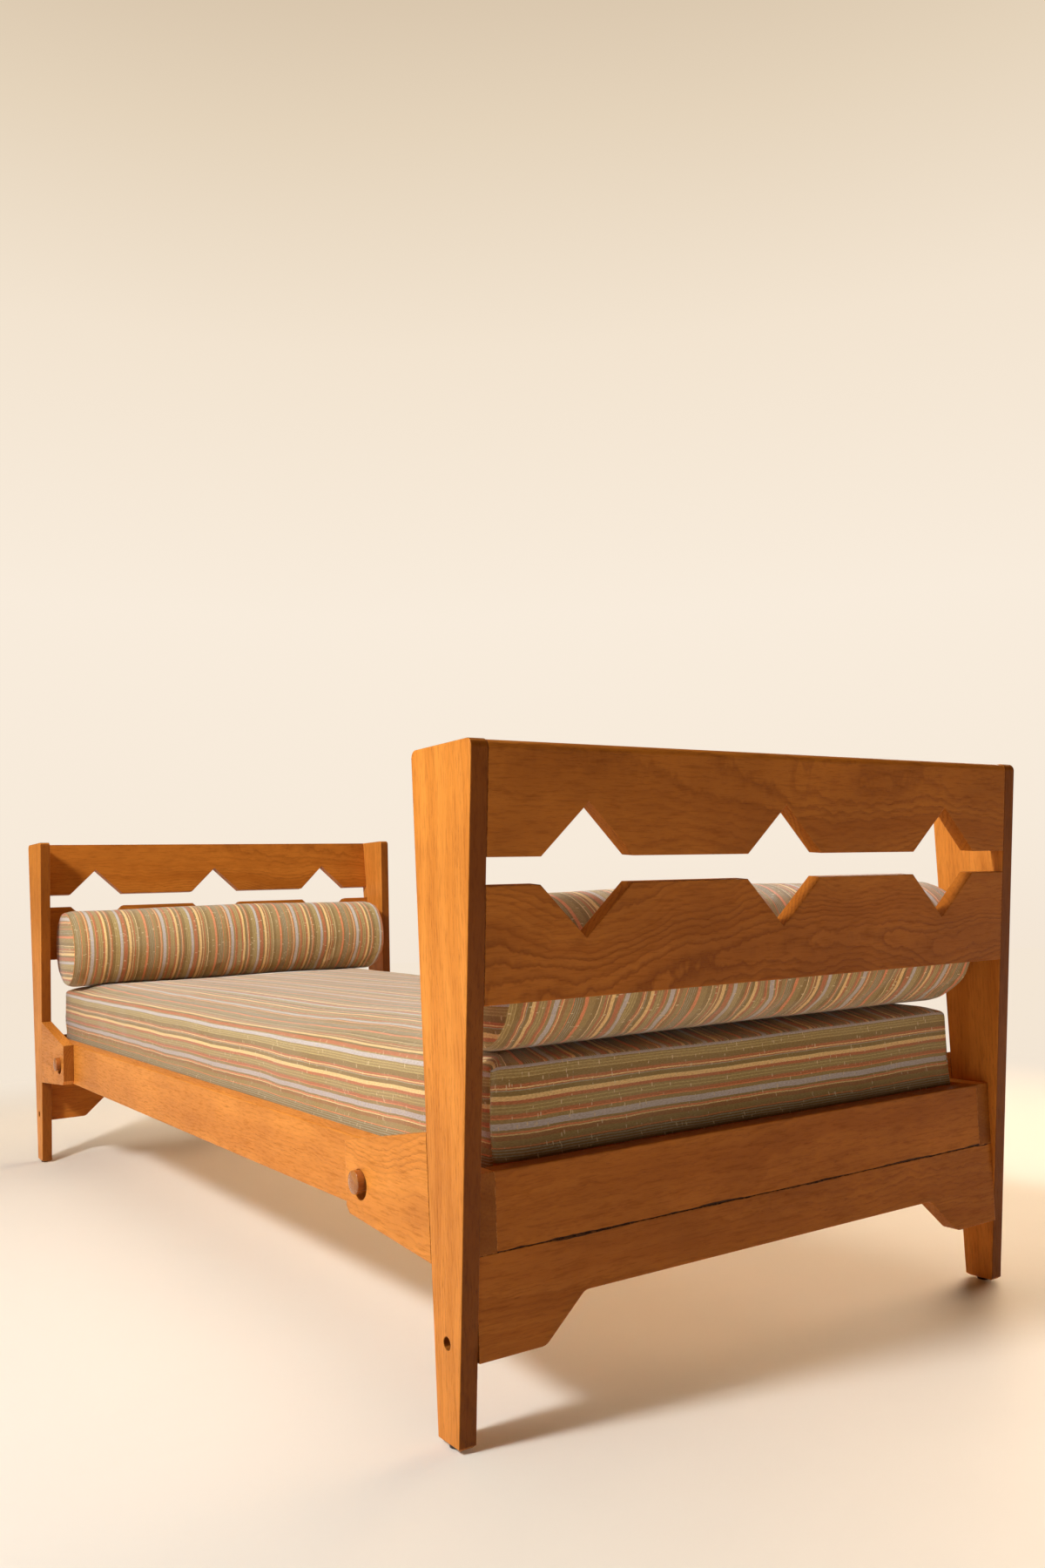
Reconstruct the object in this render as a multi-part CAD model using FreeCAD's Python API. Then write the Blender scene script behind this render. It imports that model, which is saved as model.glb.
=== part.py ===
# A wooden daybed: two end panels, a box base with slats locked between them by four
# turned pegs, a mattress in the base and a round bolster on it at each end.
#
# Millimetres. X runs along the bed, Y across it and Z up. The origin is on the floor
# under the middle of the bed, and the front long side faces -Y. Left is -X, right is +X.
import FreeCAD, Part
import math
import os

V = FreeCAD.Vector

# End panels
bed_height = 720.0          # floor to the top of a post
top_length = 2013.0         # outer edge to outer edge of the posts at their tops
outer_lean = 68.0           # how far a post's outer edge leans outwards, foot to top
inner_lean = 16.0           # how far a post's inner edge leans inwards, foot to top
post_top_width = 126.0      # a post's width along X at its top
post_thickness = 21.0
post_corner = 9.0           # rounding of a post's two top corners
edge_round = 1.5            # softened long edges of the boards
foot_chamfer = 3.0

# Fret boards, one above the other between the posts
fret_thickness = 20.0
upper_fret_height = 120.0
fret_slot = 29.0            # gap between the two boards
lower_fret_height = 121.0
notch_count = 3
notch_pitch_share = 0.3488  # from one notch to the next, as a share of the base's width
notch_half_width = 61.0
notch_rise = 58.0
fret_top_round = 8.0        # rounding of the upper board's outer top edge

# Apron under the base, with bracketed ends
apron_thickness = 22.0
apron_end_bottom = 89.0
apron_middle_bottom = 136.0
apron_foot_width = 82.0     # how far the low part of each end reaches in from the post
apron_slope_width = 53.0    # how far the slope above it then runs in
apron_corner = 14.0

# Stub tenons that join the boards to the posts
tenon_depth = 12.0
tenon_thickness = 8.0
tenon_shoulder = 12.0       # how much the tenon is set back from the board's edges
mortise_end_gap = 0.5

# Base frame
base_recess = 10.8          # from the posts' outer edges in to the base's end
base_width = 840.0
base_bottom = 195.0
base_height = 83.0
base_side_gap = 0.4         # between the base and each end panel's side faces
rail_thickness = 25.0
end_board_thickness = 22.0

# Ears, the boards glued to the posts' inner edges that lap over the rails
ear_length = 200.0
ear_rise = 37.0             # how far the ear climbs above the rail where it meets the post
ear_drop = 15.0             # how far it drops below the rail there
ear_corner = 8.0
ear_dowel_diameter = 8.0
ear_dowel_length = 30.0
ear_dowel_spacing = 60.0

# Locking pegs
peg_diameter = 27.0
peg_proud = 11.0
peg_dome = 2.5
peg_setback = 1.0           # from the peg's inner end to the rail's inner face
peg_clearance = 0.3         # around the peg in the rail
peg_hole_diameter = 35.0    # the larger hole in the ear
peg_hole_drop = 3.5         # the hole's centre, below the middle of the rail
peg_seat_gap = 0.4          # between the peg and the top of the ear's hole
peg_from_ear_end = 37.0

# Small blind hole in the side of each post, and the floor glides
post_hole_diameter = 14.0
post_hole_depth = 12.0
post_hole_height = 106.0
glide_diameter = 16.0
glide_height = 3.0
glide_rim = 0.8
glide_pin_diameter = 3.0
glide_pin_length = 12.0

# Slats on ledgers
slat_count = 14
slat_width = 60.0
slat_thickness = 12.0
slat_drop = 28.0            # from the rails' top to the slats' top
slat_end_gap = 1.0
ledger_width = 20.0
ledger_height = 20.0
screw_diameter = 4.0
screw_head_diameter = 8.0
screw_head_height = 2.4
screw_length = 24.0
screw_edge = 10.0           # from the slat's end to its screw

# Dowels between the rails and the end boards
corner_dowel_diameter = 8.0
corner_dowel_length = 44.0
corner_dowel_spacing = 44.0

# Mattress and bolsters
mattress_end_gap = 3.0      # to each end board
mattress_side_gap = 12.6    # to each rail
mattress_thickness = 137.0
mattress_round = 16.0
bolster_diameter = 176.0
bolster_overhang = 2.0      # how much longer than the mattress is wide, at each end
bolster_round = 9.0
bolster_fret_gap = 1.5
right_bolster_shift = 13.0
left_bolster_shift = -8.0
soft_gap = 0.4              # between a soft part and what it rests on

# For picking edges by where they are
touch = 0.1                 # closer than this is the same place
parallel = 0.99             # a direction's share along an axis, above which it follows it

# Worked out from the sizes above
post_outer_face = base_width / 2 + post_thickness
post_inner_face = base_width / 2
foot_outer = top_length / 2 - outer_lean
foot_inner = top_length / 2 - post_top_width + inner_lean
lean_angle = math.atan2(outer_lean, bed_height)
base_top = base_bottom + base_height
rail_outer_face = base_width / 2 - base_side_gap
rail_inner_face = rail_outer_face - rail_thickness
upper_fret_bottom = bed_height - upper_fret_height
lower_fret_top = upper_fret_bottom - fret_slot
lower_fret_bottom = lower_fret_top - lower_fret_height
notch_pitch = base_width * notch_pitch_share
upper_fret_top = bed_height - fret_thickness * math.sin(lean_angle)
slat_top = base_top - slat_drop
ledger_top = slat_top - slat_thickness
mattress_bottom = slat_top + soft_gap
mattress_top = mattress_bottom + mattress_thickness


def post_outer_edge(z):
    """How far the outer edge of a post is from the middle of the bed at height z."""
    return foot_outer + outer_lean * z / bed_height


def post_inner_edge(z):
    """How far the inner edge of a post is from the middle of the bed at height z."""
    return foot_inner - inner_lean * z / bed_height


base_end = post_outer_edge(base_bottom + base_height / 2) - base_recess
mattress_length = 2 * (base_end - end_board_thickness - mattress_end_gap)
mattress_width = 2 * (rail_inner_face - mattress_side_gap)
bolster_length = mattress_width + 2 * bolster_overhang
ear_end = post_inner_edge(base_top) - ear_length
peg_x = ear_end + peg_from_ear_end
ear_hole_z = base_bottom + base_height / 2 - peg_hole_drop
peg_z = ear_hole_z + (peg_hole_diameter - peg_diameter) / 2 - peg_seat_gap
peg_length = peg_proud + post_thickness + base_side_gap + rail_thickness - peg_setback


def prism(points, direction):
    """Extrude a closed outline of straight edges."""
    outline = Part.makePolygon(points + [points[0]])
    return Part.Face(outline).extrude(direction)


def box(low, high):
    """A box from its lowest corner to its highest."""
    return Part.makeBox(high[0] - low[0], high[1] - low[1], high[2] - low[2], V(*low))


def cylinder(diameter, length, start, direction):
    return Part.makeCylinder(diameter / 2, length, start, direction)


def round_edges(shape, radius, wanted):
    """Fillet the edges for which wanted(middle, direction) is true."""
    chosen = []
    for edge in shape.Edges:
        middle = edge.CenterOfMass
        direction = edge.Vertexes[-1].Point.sub(edge.Vertexes[0].Point)
        if direction.Length > 0 and wanted(middle, direction.normalize()):
            chosen.append(edge)
    return shape.makeFillet(radius, chosen).Solids[0]


def along(axis):
    """Picks the edges that run along one axis."""
    return lambda middle, direction: abs(direction.dot(axis)) > parallel


def mirrored(shape, x_side, y_side):
    """A shape made for the right back corner, moved to another corner."""
    result = shape
    if x_side < 0:
        result = result.mirror(V(0, 0, 0), V(1, 0, 0))
    if y_side < 0:
        result = result.mirror(V(0, 0, 0), V(0, 1, 0))
    return result


def export(shape, node):
    shape.exportStep("parts/" + node + ".step")


# ---- End panel boards, modelled for the right end ----

def leaning(shape):
    """Turn a board that stands at the foot's outer edge so that it leans with the posts."""
    result = shape.copy()
    result.rotate(V(foot_outer, 0, 0), V(0, 1, 0), math.degrees(lean_angle))
    return result


def slant_height(z):
    """The distance up a leaning board at which it reaches height z."""
    return z / math.cos(lean_angle)


def fret_outline(flat_z, notched_z, notch_step):
    """A board's outline in the Y-Z plane, with its notches cut from the notched edge."""
    points = [(-post_inner_face, flat_z), (post_inner_face, flat_z), (post_inner_face, notched_z)]
    for index in range(notch_count):
        middle = (notch_count - 1) / 2 * notch_pitch - index * notch_pitch
        points.append((middle + notch_half_width, notched_z))
        points.append((middle, notched_z + notch_step))
        points.append((middle - notch_half_width, notched_z))
    points.append((-post_inner_face, notched_z))
    return [V(foot_outer, y, z) for y, z in points]


def fret_tenons(low, high):
    """The two stub tenons of a board that stands upright."""
    middle_x = foot_outer - fret_thickness / 2
    tenons = []
    for side in (-1, 1):
        near = side * post_inner_face
        far = side * (post_inner_face + tenon_depth)
        tenons.append(box(
            (middle_x - tenon_thickness / 2, min(near, far), low + tenon_shoulder),
            (middle_x + tenon_thickness / 2, max(near, far), high - tenon_shoulder)))
    return tenons


def fret_board(flat_z, notched_z, notch_step, flat_round):
    """One fret board with its tenons, and the tenons on their own for the mortises."""
    outline = fret_outline(slant_height(flat_z), slant_height(notched_z), notch_step)
    board = prism(outline, V(-fret_thickness, 0, 0))
    board = round_edges(board, flat_round, lambda middle, direction: (
        abs(direction.y) > parallel and abs(middle.z - slant_height(flat_z)) < touch
        and abs(middle.x - foot_outer) < touch))
    low = slant_height(min(flat_z, notched_z))
    high = slant_height(max(flat_z, notched_z))
    tenons = fret_tenons(low, high)
    for tenon in tenons:
        board = board.fuse(tenon)
    return leaning(board.removeSplitter()), [leaning(tenon) for tenon in tenons]


def apron_board():
    """The low board under the base: straight top, and a bracket at each end below."""
    foot_y = post_inner_face - apron_foot_width
    arch_y = foot_y - apron_slope_width
    points = [
        V(base_end, -post_inner_face, base_bottom),
        V(base_end, -post_inner_face, apron_end_bottom),
        V(base_end, -foot_y, apron_end_bottom),
        V(base_end, -arch_y, apron_middle_bottom),
        V(base_end, arch_y, apron_middle_bottom),
        V(base_end, foot_y, apron_end_bottom),
        V(base_end, post_inner_face, apron_end_bottom),
        V(base_end, post_inner_face, base_bottom),
    ]
    board = prism(points, V(-apron_thickness, 0, 0))
    board = round_edges(board, apron_corner, lambda middle, direction: (
        abs(direction.x) > parallel and abs(middle.y) < post_inner_face - touch))
    middle_x = base_end - apron_thickness / 2
    tenons = []
    for side in (-1, 1):
        near = side * post_inner_face
        far = side * (post_inner_face + tenon_depth)
        tenon = box(
            (middle_x - tenon_thickness / 2, min(near, far), apron_end_bottom + tenon_shoulder),
            (middle_x + tenon_thickness / 2, max(near, far), base_bottom - tenon_shoulder))
        tenons.append(tenon)
        board = board.fuse(tenon)
    return board.removeSplitter(), tenons


def mortise(tenon):
    """The pocket for a tenon, a little deeper than the tenon is long."""
    pocket = tenon.copy()
    side = 1 if tenon.CenterOfMass.y > 0 else -1
    return pocket.fuse(tenon.translated(V(0, side * mortise_end_gap, 0)))


def glide_centre():
    """The middle of the foot that the glide is nailed into."""
    middle_x = (post_outer_edge(0) + post_inner_edge(0)) / 2
    middle_y = post_inner_face + post_thickness / 2
    return middle_x, middle_y


def floor_glide():
    """A round glide with a rounded rim and the pin that holds it in the foot."""
    x, y = glide_centre()
    disc = cylinder(glide_diameter, glide_height, V(x, y, 0), V(0, 0, 1))
    bottom = [edge for edge in disc.Edges if len(edge.Vertexes) == 1 and edge.BoundBox.ZMax < touch]
    disc = disc.makeFillet(glide_rim, bottom).Solids[0]
    pin = cylinder(glide_pin_diameter, glide_pin_length, V(x, y, glide_height), V(0, 0, 1))
    return disc.fuse(pin).removeSplitter()


def ear_dowel_places():
    """Start points of the two dowels between an ear and its post."""
    middle_z = base_bottom + base_height / 2
    for step in (-0.5, 0.5):
        z = middle_z + step * ear_dowel_spacing
        yield V(post_inner_edge(z) - ear_dowel_length / 2, post_inner_face + post_thickness / 2, z)


def ear_dowel(start):
    return cylinder(ear_dowel_diameter, ear_dowel_length, start, V(1, 0, 0))


def post(tenons):
    """The right back post: a tapered board, wide at its top, with its mortises and holes."""
    y = post_inner_face
    points = [
        V(post_inner_edge(glide_height), y, glide_height),
        V(post_outer_edge(glide_height), y, glide_height),
        V(post_outer_edge(bed_height), y, bed_height),
        V(post_inner_edge(bed_height), y, bed_height),
    ]
    board = prism(points, V(0, post_thickness, 0))
    sole = [edge for edge in board.Edges if edge.BoundBox.ZMax < glide_height + touch]
    board = board.makeChamfer(foot_chamfer, sole).Solids[0]
    board = round_edges(board, post_corner, lambda middle, direction: (
        abs(direction.y) > parallel and middle.z > bed_height - touch))
    board = round_edges(board, edge_round, lambda middle, direction: (
        abs(direction.y) < parallel and middle.z > glide_height + foot_chamfer + touch))
    for tenon in tenons:
        if tenon.CenterOfMass.y > 0:
            board = board.cut(mortise(tenon))
    hole_x = (post_outer_edge(post_hole_height) + post_inner_edge(post_hole_height)) / 2
    board = board.cut(cylinder(post_hole_diameter, post_hole_depth,
                               V(hole_x, post_outer_face, post_hole_height), V(0, -1, 0)))
    x, middle_y = glide_centre()
    board = board.cut(cylinder(glide_pin_diameter, glide_pin_length,
                               V(x, middle_y, glide_height), V(0, 0, 1)))
    for start in ear_dowel_places():
        board = board.cut(ear_dowel(start))
    return board


def ear():
    """The right back ear: it lies on the rail, and flares where it meets the post."""
    flare_top = base_top + ear_rise
    flare_bottom = base_bottom - ear_drop
    y = post_inner_face
    points = [
        V(ear_end, y, base_bottom + ear_corner),
        V(ear_end + ear_corner, y, base_bottom),
        V(post_inner_edge(flare_bottom), y, flare_bottom),
        V(post_inner_edge(flare_top), y, flare_top),
        V(ear_end, y, base_top),
    ]
    board = prism(points, V(0, post_thickness, 0))
    hole = cylinder(peg_hole_diameter, post_thickness, V(peg_x, y, ear_hole_z), V(0, 1, 0))
    board = board.cut(hole)
    for start in ear_dowel_places():
        board = board.cut(ear_dowel(start))
    return board


def peg():
    """A turned locking peg with a slightly domed outer end."""
    radius = peg_diameter / 2
    inner_y = rail_inner_face + peg_setback
    outer_y = inner_y + peg_length
    centre = V(peg_x, 0, peg_z)
    shoulder = V(peg_x + radius, outer_y - peg_dome, peg_z)
    crown = V(peg_x, outer_y, peg_z)
    on_dome = dome_point(radius, outer_y)
    edges = [
        Part.makeLine(V(centre.x, inner_y, centre.z), V(centre.x + radius, inner_y, centre.z)),
        Part.makeLine(V(centre.x + radius, inner_y, centre.z), shoulder),
        Part.Arc(shoulder, on_dome, crown).toShape(),
        Part.makeLine(crown, V(centre.x, inner_y, centre.z)),
    ]
    profile = Part.Face(Part.Wire(edges))
    return profile.revolve(centre, V(0, 1, 0), 360)


def dome_point(radius, outer_y):
    """A point half-way along the arc of the peg's domed end."""
    dome_radius = (radius ** 2 + peg_dome ** 2) / (2 * peg_dome)
    angle = math.asin(radius / dome_radius) / 2
    return V(peg_x + dome_radius * math.sin(angle),
             outer_y - dome_radius * (1 - math.cos(angle)), peg_z)


# ---- Base frame ----

def corner_dowel_places():
    """Start points of the dowels through the back rail into the right end board."""
    middle_z = base_bottom + base_height / 2
    for step in (-0.5, 0.5):
        yield V(base_end - end_board_thickness / 2, rail_outer_face,
                middle_z + step * corner_dowel_spacing)


def corner_dowel(start):
    return cylinder(corner_dowel_diameter, corner_dowel_length, start, V(0, -1, 0))


def back_rail():
    """The back rail, with its peg holes and dowel holes."""
    rail = box((-base_end, rail_inner_face, base_bottom), (base_end, rail_outer_face, base_top))
    rail = round_edges(rail, edge_round, along(V(1, 0, 0)))
    for side in (-1, 1):
        hole = cylinder(peg_diameter + 2 * peg_clearance, rail_thickness,
                        V(peg_x, rail_inner_face, peg_z), V(0, 1, 0))
        rail = rail.cut(mirrored(hole, side, 1))
        for start in corner_dowel_places():
            rail = rail.cut(mirrored(corner_dowel(start), side, 1))
    return rail


def right_end_board():
    """The end board between the rails, with its dowel holes."""
    board = box((base_end - end_board_thickness, -rail_inner_face, base_bottom),
                (base_end, rail_inner_face, base_top))
    board = round_edges(board, edge_round, along(V(0, 1, 0)))
    for side in (-1, 1):
        for start in corner_dowel_places():
            board = board.cut(mirrored(corner_dowel(start), 1, side))
    return board


def back_ledger():
    """The strip along the back rail that the slats lie on."""
    inner_end = base_end - end_board_thickness
    return box((-inner_end, rail_inner_face - ledger_width, ledger_top - ledger_height),
               (inner_end, rail_inner_face, ledger_top))


def slat_places():
    """The middle of each slat along X, evenly spread between the end boards."""
    inner_length = 2 * (base_end - end_board_thickness)
    gap = (inner_length - slat_count * slat_width) / (slat_count + 1)
    first = -inner_length / 2 + gap + slat_width / 2
    return [first + index * (slat_width + gap) for index in range(slat_count)]


def slat_screw(x, side):
    """A countersunk screw through one end of a slat into the ledger."""
    y = side * (rail_inner_face - slat_end_gap - screw_edge)
    head = Part.makeCone(screw_diameter / 2, screw_head_diameter / 2, screw_head_height,
                         V(x, y, slat_top - screw_head_height), V(0, 0, 1))
    shank = cylinder(screw_diameter, screw_length - screw_head_height,
                     V(x, y, slat_top - screw_length), V(0, 0, 1))
    return head.fuse(shank).removeSplitter()


def slat(x):
    """A slat across the bed, with a hole for its screw at each end."""
    half_length = rail_inner_face - slat_end_gap
    board = box((x - slat_width / 2, -half_length, ledger_top),
                (x + slat_width / 2, half_length, slat_top))
    board = round_edges(board, edge_round, along(V(0, 1, 0)))
    for side in (-1, 1):
        board = board.cut(slat_screw(x, side))
    return board


# ---- Soft parts ----

def mattress():
    low = (-mattress_length / 2, -mattress_width / 2, mattress_bottom)
    high = (mattress_length / 2, mattress_width / 2, mattress_top)
    block = box(low, high)
    return block.makeFillet(mattress_round, block.Edges).Solids[0]


def bolster(x_side, shift):
    """A round bolster lying on the mattress, close to the lower fret board."""
    radius = bolster_diameter / 2
    z = mattress_top + soft_gap + radius
    board_face = post_outer_edge(z) - fret_thickness / math.cos(lean_angle)
    x = board_face - (radius + bolster_fret_gap) / math.cos(lean_angle)
    start = V(x_side * x, shift - bolster_length / 2, z)
    roll = cylinder(bolster_diameter, bolster_length, start, V(0, 1, 0))
    rims = [edge for edge in roll.Edges if len(edge.Vertexes) == 1]
    return roll.makeFillet(bolster_round, rims).Solids[0]


# ---- Build every node ----

os.makedirs("parts", exist_ok=True)

upper_fret, upper_tenons = fret_board(upper_fret_top, upper_fret_bottom, notch_rise,
                                      fret_top_round)
lower_fret, lower_tenons = fret_board(lower_fret_bottom, lower_fret_top, -notch_rise,
                                      edge_round)
apron, apron_tenons = apron_board()
corner_post = post(upper_tenons + lower_tenons + apron_tenons)
corner_ear = ear()
corner_peg = peg()
corner_glide = floor_glide()

ends = (("left", -1), ("right", 1))
sides = (("front", -1), ("back", 1))

ear_dowels = []
corner_dowels = []
for end_name, x_side in ends:
    export(mirrored(upper_fret, x_side, 1), end_name + "_upper_fret")
    export(mirrored(lower_fret, x_side, 1), end_name + "_lower_fret")
    export(mirrored(apron, x_side, 1), end_name + "_apron")
    export(mirrored(right_end_board(), x_side, 1), end_name + "_end_board")
    for side_name, y_side in sides:
        corner = end_name + "_" + side_name
        export(mirrored(corner_post, x_side, y_side), corner + "_post")
        export(mirrored(corner_ear, x_side, y_side), corner + "_ear")
        export(mirrored(corner_peg, x_side, y_side), corner + "_peg")
        export(mirrored(corner_glide, x_side, y_side), corner + "_glide")
        for start in ear_dowel_places():
            ear_dowels.append(mirrored(ear_dowel(start), x_side, y_side))
        for start in corner_dowel_places():
            corner_dowels.append(mirrored(corner_dowel(start), x_side, y_side))
export(Part.makeCompound(ear_dowels), "ear_dowels")
export(Part.makeCompound(corner_dowels), "base_corner_dowels")

screws = []
for number, x in enumerate(slat_places(), start=1):
    export(slat(x), "slat_%02d" % number)
    screws.append(slat_screw(x, -1))
    screws.append(slat_screw(x, 1))
export(Part.makeCompound(screws), "slat_screws")

ledger = back_ledger()
for screw in screws:
    ledger = ledger.cut(screw)
for side_name, y_side in sides:
    export(mirrored(back_rail(), 1, y_side), side_name + "_rail")
    export(mirrored(ledger, 1, y_side), side_name + "_slat_ledger")

export(mattress(), "mattress")
export(bolster(-1, left_bolster_shift), "left_bolster")
export(bolster(1, right_bolster_shift), "right_bolster")
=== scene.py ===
# Looks for the daybed: oak boards, turned pegs, striped mattress and bolsters.
# Everything is in metres, in the row frame: X along the bed, Y across it, Z up.
import bpy
import math
from mathutils import Matrix, Vector, noise


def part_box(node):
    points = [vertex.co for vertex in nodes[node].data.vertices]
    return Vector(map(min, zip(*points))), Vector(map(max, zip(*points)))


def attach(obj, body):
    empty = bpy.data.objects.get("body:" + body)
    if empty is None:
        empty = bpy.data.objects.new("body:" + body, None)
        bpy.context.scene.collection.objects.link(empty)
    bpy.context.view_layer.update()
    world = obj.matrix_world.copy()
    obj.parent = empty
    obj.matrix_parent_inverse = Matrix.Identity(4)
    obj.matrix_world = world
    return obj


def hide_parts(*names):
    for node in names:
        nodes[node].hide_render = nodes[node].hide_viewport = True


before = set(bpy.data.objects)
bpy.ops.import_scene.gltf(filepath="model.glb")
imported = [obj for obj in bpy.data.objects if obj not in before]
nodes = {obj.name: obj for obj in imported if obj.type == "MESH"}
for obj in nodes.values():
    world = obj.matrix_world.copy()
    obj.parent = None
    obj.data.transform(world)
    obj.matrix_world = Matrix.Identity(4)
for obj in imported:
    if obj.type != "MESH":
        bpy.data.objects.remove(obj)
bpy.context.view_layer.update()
scene = bpy.context.scene
scene.view_settings.view_transform = "Standard"

# ---------------------------------------------------------------- node helpers


class Graph:
    """Builds a material's node tree with short calls. Inputs are sockets or plain values."""

    def __init__(self, name):
        self.material = bpy.data.materials.new(name)
        self.material.use_nodes = True
        self.tree = self.material.node_tree
        self.tree.nodes.clear()
        self.output = self.tree.nodes.new("ShaderNodeOutputMaterial")

    def node(self, kind, **settings):
        made = self.tree.nodes.new(kind)
        for key, value in settings.items():
            setattr(made, key, value)
        return made

    def feed(self, socket, value):
        if isinstance(value, bpy.types.NodeSocket):
            self.tree.links.new(value, socket)
        elif value is not None:
            socket.default_value = value

    def math(self, operation, a, b=None, c=None, clamp=False):
        made = self.node("ShaderNodeMath", operation=operation, use_clamp=clamp)
        for socket, value in zip(made.inputs, (a, b, c)):
            self.feed(socket, value)
        return made.outputs[0]

    def dot(self, vector, axis):
        made = self.node("ShaderNodeVectorMath", operation="DOT_PRODUCT")
        self.feed(made.inputs[0], vector)
        made.inputs[1].default_value = axis
        return made.outputs["Value"]

    def vector(self, x, y, z=0.0):
        made = self.node("ShaderNodeCombineXYZ")
        for socket, value in zip(made.inputs, (x, y, z)):
            self.feed(socket, value)
        return made.outputs[0]

    def noise(self, vector, scale=1.0, detail=2.0, roughness=0.5, distortion=0.0):
        made = self.node("ShaderNodeTexNoise", noise_dimensions="3D")
        self.feed(made.inputs["Vector"], vector)
        made.inputs["Scale"].default_value = scale
        made.inputs["Detail"].default_value = detail
        made.inputs["Roughness"].default_value = roughness
        made.inputs["Distortion"].default_value = distortion
        return made.outputs[0]

    def ramp(self, factor, stops, interpolation="LINEAR"):
        """A colour ramp. stops is a list of (position, colour), a colour being a number or RGB."""
        made = self.node("ShaderNodeValToRGB")
        made.color_ramp.interpolation = interpolation
        elements = made.color_ramp.elements
        while len(elements) > 1:
            elements.remove(elements[-1])
        for index, (position, colour) in enumerate(stops):
            if isinstance(colour, float):
                colour = (colour, colour, colour)
            element = elements[0] if index == 0 else elements.new(position)
            element.position = position
            element.color = (*colour, 1.0)
        self.feed(made.inputs[0], factor)
        return made.outputs[0]

    def smooth(self, value, low, high):
        """0 below low, 1 above high, and smooth between them."""
        made = self.node("ShaderNodeMapRange", interpolation_type="SMOOTHSTEP")
        self.feed(made.inputs["Value"], value)
        made.inputs["From Min"].default_value = low
        made.inputs["From Max"].default_value = high
        return made.outputs[0]

    def mix(self, factor, a, b, blend="MIX"):
        made = self.node("ShaderNodeMix", data_type="RGBA", blend_type=blend)
        made.clamp_factor = True
        colours = []
        for value in (a, b):
            colours.append((*value, 1.0) if isinstance(value, tuple) and len(value) == 3 else value)
        self.feed(made.inputs[0], factor)
        self.feed(made.inputs[6], colours[0])
        self.feed(made.inputs[7], colours[1])
        return made.outputs[2]

    def bump(self, height, distance, strength=1.0, normal=None):
        made = self.node("ShaderNodeBump")
        made.inputs["Strength"].default_value = strength
        made.inputs["Distance"].default_value = distance
        self.feed(made.inputs["Height"], height)
        self.feed(made.inputs["Normal"], normal)
        return made.outputs[0]

    def shade(self, colour, roughness, normal=None, **sockets):
        shader = self.node("ShaderNodeBsdfPrincipled")
        self.feed(shader.inputs["Base Color"], colour)
        self.feed(shader.inputs["Roughness"], roughness)
        self.feed(shader.inputs["Normal"], normal)
        for name, value in sockets.items():
            shader.inputs[name.replace("_", " ")].default_value = value
        self.tree.links.new(shader.outputs[0], self.output.inputs["Surface"])
        return self.material


# ---------------------------------------------------------------- wood

HONEY = {"light": (0.80, 0.300, 0.050), "mid": (0.68, 0.235, 0.034), "dark": (0.34, 0.090, 0.012)}
WARM = {"light": (0.56, 0.180, 0.022), "mid": (0.45, 0.132, 0.014), "dark": (0.20, 0.048, 0.005)}
PALE = {"light": (0.66, 0.44, 0.20), "mid": (0.56, 0.35, 0.145), "dark": (0.34, 0.19, 0.07)}
TURNED = {"light": (0.46, 0.150, 0.030), "mid": (0.34, 0.095, 0.018), "dark": (0.18, 0.042, 0.008)}

RING_WIDTH = 0.0052       # one year's growth
RING_RIPPLE = 0.009       # how far small waves push a ring
PITH_WANDER = 0.16        # how far the pith strays across the board
PITH_SLOPE = 0.03         # how far it runs off through the board, for each metre of length
PORES = (85.0, 900.0)     # pores to the metre, along the grain and across it
STREAKS = (34.0, 310.0)   # streaks to the metre, likewise
EDGE_REACH = 0.0022       # how far wear reaches in from an edge
EDGE_PAINTED_SHADE = (0.28, 0.19, 0.09)         # painted shade: multiplies the colour of a board's long edges
END_TINT = (0.46, 0.40, 0.34)           # multiplies the colour of end grain
TURNED_END_TINT = (1.10, 1.35, 1.90)    # and of a turned peg's end
CRACK_LEAST = 0.0004      # half the height of an opened joint where it is closed up
CRACK_MOST = 0.0022       # how much more it opens at its widest
CRACK_COLOUR = (0.012, 0.006, 0.003)


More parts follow.
